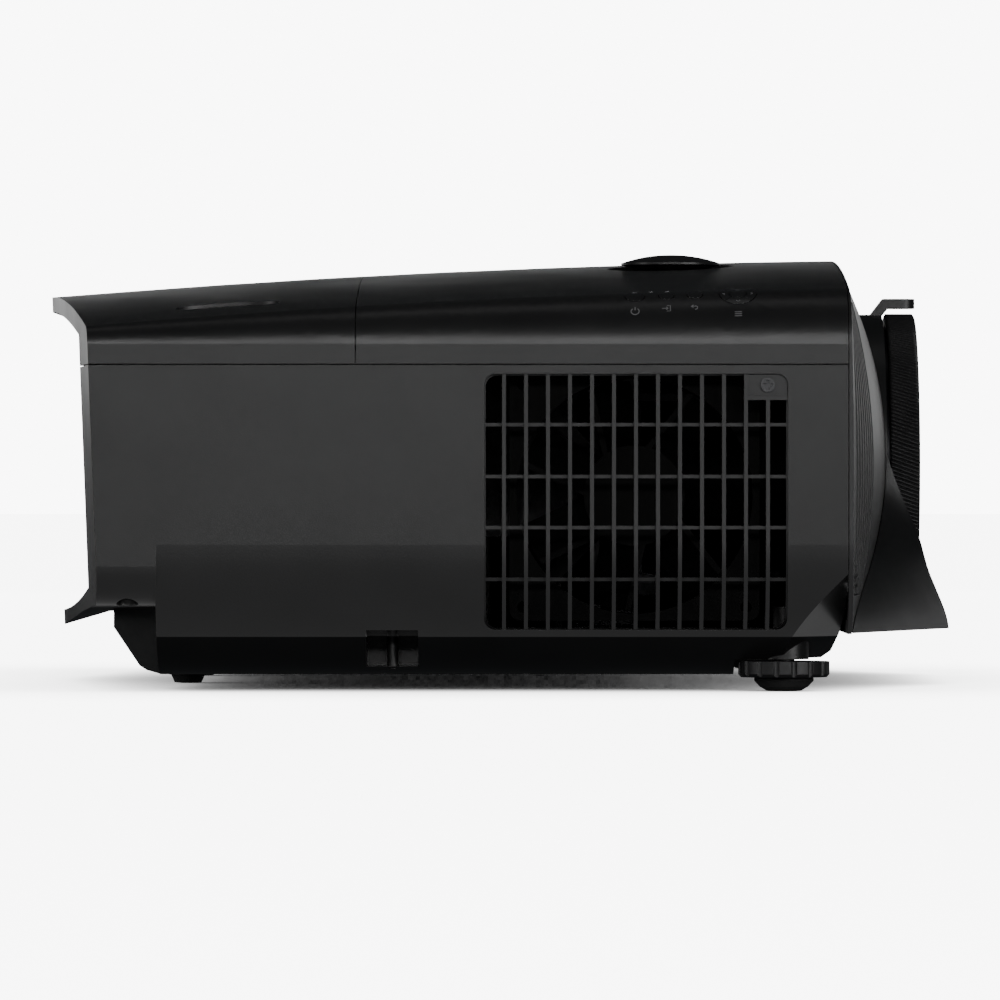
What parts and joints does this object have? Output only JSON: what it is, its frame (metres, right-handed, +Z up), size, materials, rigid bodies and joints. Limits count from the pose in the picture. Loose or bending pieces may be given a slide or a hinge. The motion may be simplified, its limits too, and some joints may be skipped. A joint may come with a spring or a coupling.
{
  "type": "home projector",
  "caption": "Long low home-cinema projector with a large front lens, chin, side grilles, lens shift, removable rear cover and screw feet.",
  "frame": {"origin": "on the floor, under the middle of the whole object's box", "axes": "+X is the way the lens points, +Y is the projector's left seen from behind, +Z is up"},
  "size_m": [0.3485, 0.493, 0.164],
  "materials": {
    "case_plastic": "fine textured satin black",
    "fascia_plastic": "smooth satin black",
    "grille_plastic": "textured black",
    "ring_plastic": "satin black, knurled",
    "knob_plastic": "satin black",
    "key_plastic": "gloss black",
    "light_pipe": "clear frosted",
    "infrared_window": "dark red gloss",
    "foot_plastic": "moulded black",
    "rubber": "matte rubber",
    "screw_steel": "black zinc",
    "insert_brass": "machined",
    "panel_plastic": "fine textured black",
    "socket_metal": "nickel plated",
    "inlet_plastic": "moulded black",
    "lens_metal": "black anodised",
    "optical_glass": "coated glass",
    "cast_metal": "die cast",
    "carriage_metal": "machined",
    "heatsink_metal": "extruded",
    "board_green": "solder mask",
    "fan_plastic": "moulded black",
    "lamp_plastic": "heat resistant",
    "lamp_glass": "dichroic glass",
    "wheel_glass": "dichroic segments",
    "steel": "turned"
  },
  "bodies": {
    "chassis": {"lower_case": "case_plastic", "front_top_cover": "case_plastic", "front_fascia": "fascia_plastic", "remote_window": "infrared_window", "front_grille_right": "grille_plastic", "front_grille_left": "grille_plastic", "side_grille_right": "grille_plastic", "side_grille_left": "grille_plastic", "lens_surround": "fascia_plastic", "indicator_lights": "light_pipe", "case_screws": "screw_steel", "rear_panel": "panel_plastic", "rear_sockets": "socket_metal", "mains_inlet": "inlet_plastic", "shift_base": "cast_metal", "joystick_bracket": "cast_metal", "engine_housing": "cast_metal", "light_tunnel": "optical_glass", "relay_optics": "optical_glass", "mirror_board": "board_green", "mirror_heatsink": "heatsink_metal", "wheel_motor": "steel", "lamp_module": "lamp_plastic", "lamp_reflector": "lamp_glass", "fan_frames": "fan_plastic", "blower_housing": "fan_plastic", "main_board": "board_green", "power_board": "board_green", "rear_feet": "rubber", "threaded_inserts": "insert_brass"},
    "vertical_carriage": {"vertical_carriage": "carriage_metal"},
    "horizontal_carriage": {"horizontal_carriage": "carriage_metal", "lens_barrel": "lens_metal", "rear_lens": "optical_glass"},
    "zoom_ring": {"zoom_ring": "ring_plastic"},
    "zoom_group": {"zoom_cell": "lens_metal", "zoom_lens": "optical_glass"},
    "focus_ring": {"focus_ring": "ring_plastic"},
    "focus_group": {"focus_cell": "lens_metal", "front_lens": "optical_glass"},
    "shift_gimbal": {"shift_gimbal": "steel"},
    "shift_stick": {"shift_stick": "steel"},
    "shift_knob": {"shift_knob": "knob_plastic"},
    "color_wheel": {"color_wheel": "wheel_glass"},
    "exhaust_fan_rotor": {"exhaust_fan_rotor": "fan_plastic"},
    "intake_fan_rotor": {"intake_fan_rotor": "fan_plastic"},
    "blower_impeller": {"blower_impeller": "fan_plastic"},
    "service_cover": {"service_cover": "case_plastic"},
    "foot_pad_right": {"foot_pad_right": "rubber"},
    "foot_wheel_right": {"foot_wheel_right": "foot_plastic"},
    "foot_pad_left": {"foot_pad_left": "rubber"},
    "foot_wheel_left": {"foot_wheel_left": "foot_plastic"},
    "power_key": {"power_key": "key_plastic"},
    "source_key": {"source_key": "key_plastic"},
    "back_key": {"back_key": "key_plastic"},
    "up_key": {"up_key": "key_plastic"},
    "down_key": {"down_key": "key_plastic"},
    "left_key": {"left_key": "key_plastic"},
    "right_key": {"right_key": "key_plastic"},
    "ok_key": {"ok_key": "key_plastic"}
  },
  "joints": [
    {"name": "lens_shift_vertical", "type": "slide", "parent": "chassis", "child": "vertical_carriage", "axis": [0, 0, 1], "range_m": [-0.0012, 0.0042]},
    {"name": "lens_shift_horizontal", "type": "slide", "parent": "vertical_carriage", "child": "horizontal_carriage", "axis": [0, 1, 0], "range_m": [-0.0024, 0.0024]},
    {"name": "zoom_turn", "type": "hinge", "parent": "horizontal_carriage", "child": "zoom_ring", "pos_m": [0.145, 0, 0.0846], "axis": [1, 0, 0], "range_deg": [-25, 25]},
    {"name": "zoom_travel", "type": "slide", "parent": "horizontal_carriage", "child": "zoom_group", "axis": [1, 0, 0], "range_m": [-0.0061, 0.0061]},
    {"name": "focus_turn", "type": "hinge", "parent": "horizontal_carriage", "child": "focus_ring", "pos_m": [0.158, 0, 0.0846], "axis": [1, 0, 0], "range_deg": [-60, 60]},
    {"name": "focus_travel", "type": "slide", "parent": "horizontal_carriage", "child": "focus_group", "axis": [1, 0, 0], "range_m": [-0.0014, 0.0014]},
    {"name": "joystick_roll", "type": "hinge", "parent": "chassis", "child": "shift_gimbal", "pos_m": [0.0666, -0.11, 0.13], "axis": [1, 0, 0], "range_deg": [-5.9, 5.9]},
    {"name": "joystick_pitch", "type": "hinge", "parent": "shift_gimbal", "child": "shift_stick", "pos_m": [0.0666, -0.11, 0.13], "axis": [0, 1, 0], "range_deg": [-2.2, 7.4]},
    {"name": "shift_lock", "type": "hinge", "parent": "shift_stick", "child": "shift_knob", "pos_m": [0.0666, -0.11, 0.159], "axis": [0, 0, 1], "range_deg": [0, 60]},
    {"name": "color_wheel_spin", "type": "hinge", "parent": "chassis", "child": "color_wheel", "pos_m": [-0.063, 0.082, 0.0846], "axis": [1, 0, 0], "continuous": true},
    {"name": "exhaust_fan_spin", "type": "hinge", "parent": "chassis", "child": "exhaust_fan_rotor", "pos_m": [0.051, -0.2155, 0.072], "axis": [0, 1, 0], "continuous": true},
    {"name": "intake_fan_spin", "type": "hinge", "parent": "chassis", "child": "intake_fan_rotor", "pos_m": [0.051, 0.2155, 0.072], "axis": [0, 1, 0], "continuous": true},
    {"name": "blower_spin", "type": "hinge", "parent": "chassis", "child": "blower_impeller", "pos_m": [-0.037, 0.168, 0.07], "axis": [0, 0, 1], "continuous": true},
    {"name": "service_cover_lift", "type": "slide", "parent": "chassis", "child": "service_cover", "axis": [0, 0, 1], "range_m": [0, 0.06]},
    {"name": "foot_height_right", "type": "slide", "parent": "chassis", "child": "foot_pad_right", "axis": [0, 0, -1], "range_m": [0, 0.0101]},
    {"name": "foot_turn_right", "type": "hinge", "parent": "foot_pad_right", "child": "foot_wheel_right", "pos_m": [0.1064, -0.215, 0.008], "axis": [0, 0, 1], "range_deg": [0, 1800]},
    {"name": "foot_height_left", "type": "slide", "parent": "chassis", "child": "foot_pad_left", "axis": [0, 0, -1], "range_m": [0, 0.0101]},
    {"name": "foot_turn_left", "type": "hinge", "parent": "foot_pad_left", "child": "foot_wheel_left", "pos_m": [0.1064, 0.215, 0.008], "axis": [0, 0, 1], "range_deg": [0, 1800]},
    {"name": "power_press", "type": "slide", "parent": "chassis", "child": "power_key", "axis": [0, 0.4067, -0.9135], "range_m": [0, 0.0004], "stiffness_N_per_m": 300},
    {"name": "source_press", "type": "slide", "parent": "chassis", "child": "source_key", "axis": [0, 0.4067, -0.9135], "range_m": [0, 0.0004], "stiffness_N_per_m": 300},
    {"name": "back_press", "type": "slide", "parent": "chassis", "child": "back_key", "axis": [0, 0.4067, -0.9135], "range_m": [0, 0.0004], "stiffness_N_per_m": 300},
    {"name": "up_press", "type": "slide", "parent": "chassis", "child": "up_key", "axis": [0, 0.4067, -0.9135], "range_m": [0, 0.0004], "stiffness_N_per_m": 300},
    {"name": "down_press", "type": "slide", "parent": "chassis", "child": "down_key", "axis": [0, 0.4067, -0.9135], "range_m": [0, 0.0004], "stiffness_N_per_m": 300},
    {"name": "left_press", "type": "slide", "parent": "chassis", "child": "left_key", "axis": [0, 0.4067, -0.9135], "range_m": [0, 0.0004], "stiffness_N_per_m": 300},
    {"name": "right_press", "type": "slide", "parent": "chassis", "child": "right_key", "axis": [0, 0.4067, -0.9135], "range_m": [0, 0.0004], "stiffness_N_per_m": 300},
    {"name": "ok_press", "type": "slide", "parent": "chassis", "child": "ok_key", "axis": [0, 0.4067, -0.9135], "range_m": [0, 0.0004], "stiffness_N_per_m": 300}
  ],
  "couplings": [
    {"joint": "zoom_travel", "follows": "zoom_turn", "m_per_rad": 0.01375},
    {"joint": "focus_travel", "follows": "focus_turn", "m_per_rad": 0.0013},
    {"joint": "joystick_roll", "follows": "lens_shift_horizontal", "rad_per_m": -42},
    {"joint": "joystick_pitch", "follows": "lens_shift_vertical", "rad_per_m": 30},
    {"joint": "foot_height_right", "follows": "foot_turn_right", "m_per_rad": 0.00031831},
    {"joint": "foot_height_left", "follows": "foot_turn_left", "m_per_rad": 0.00031831}
  ]
}
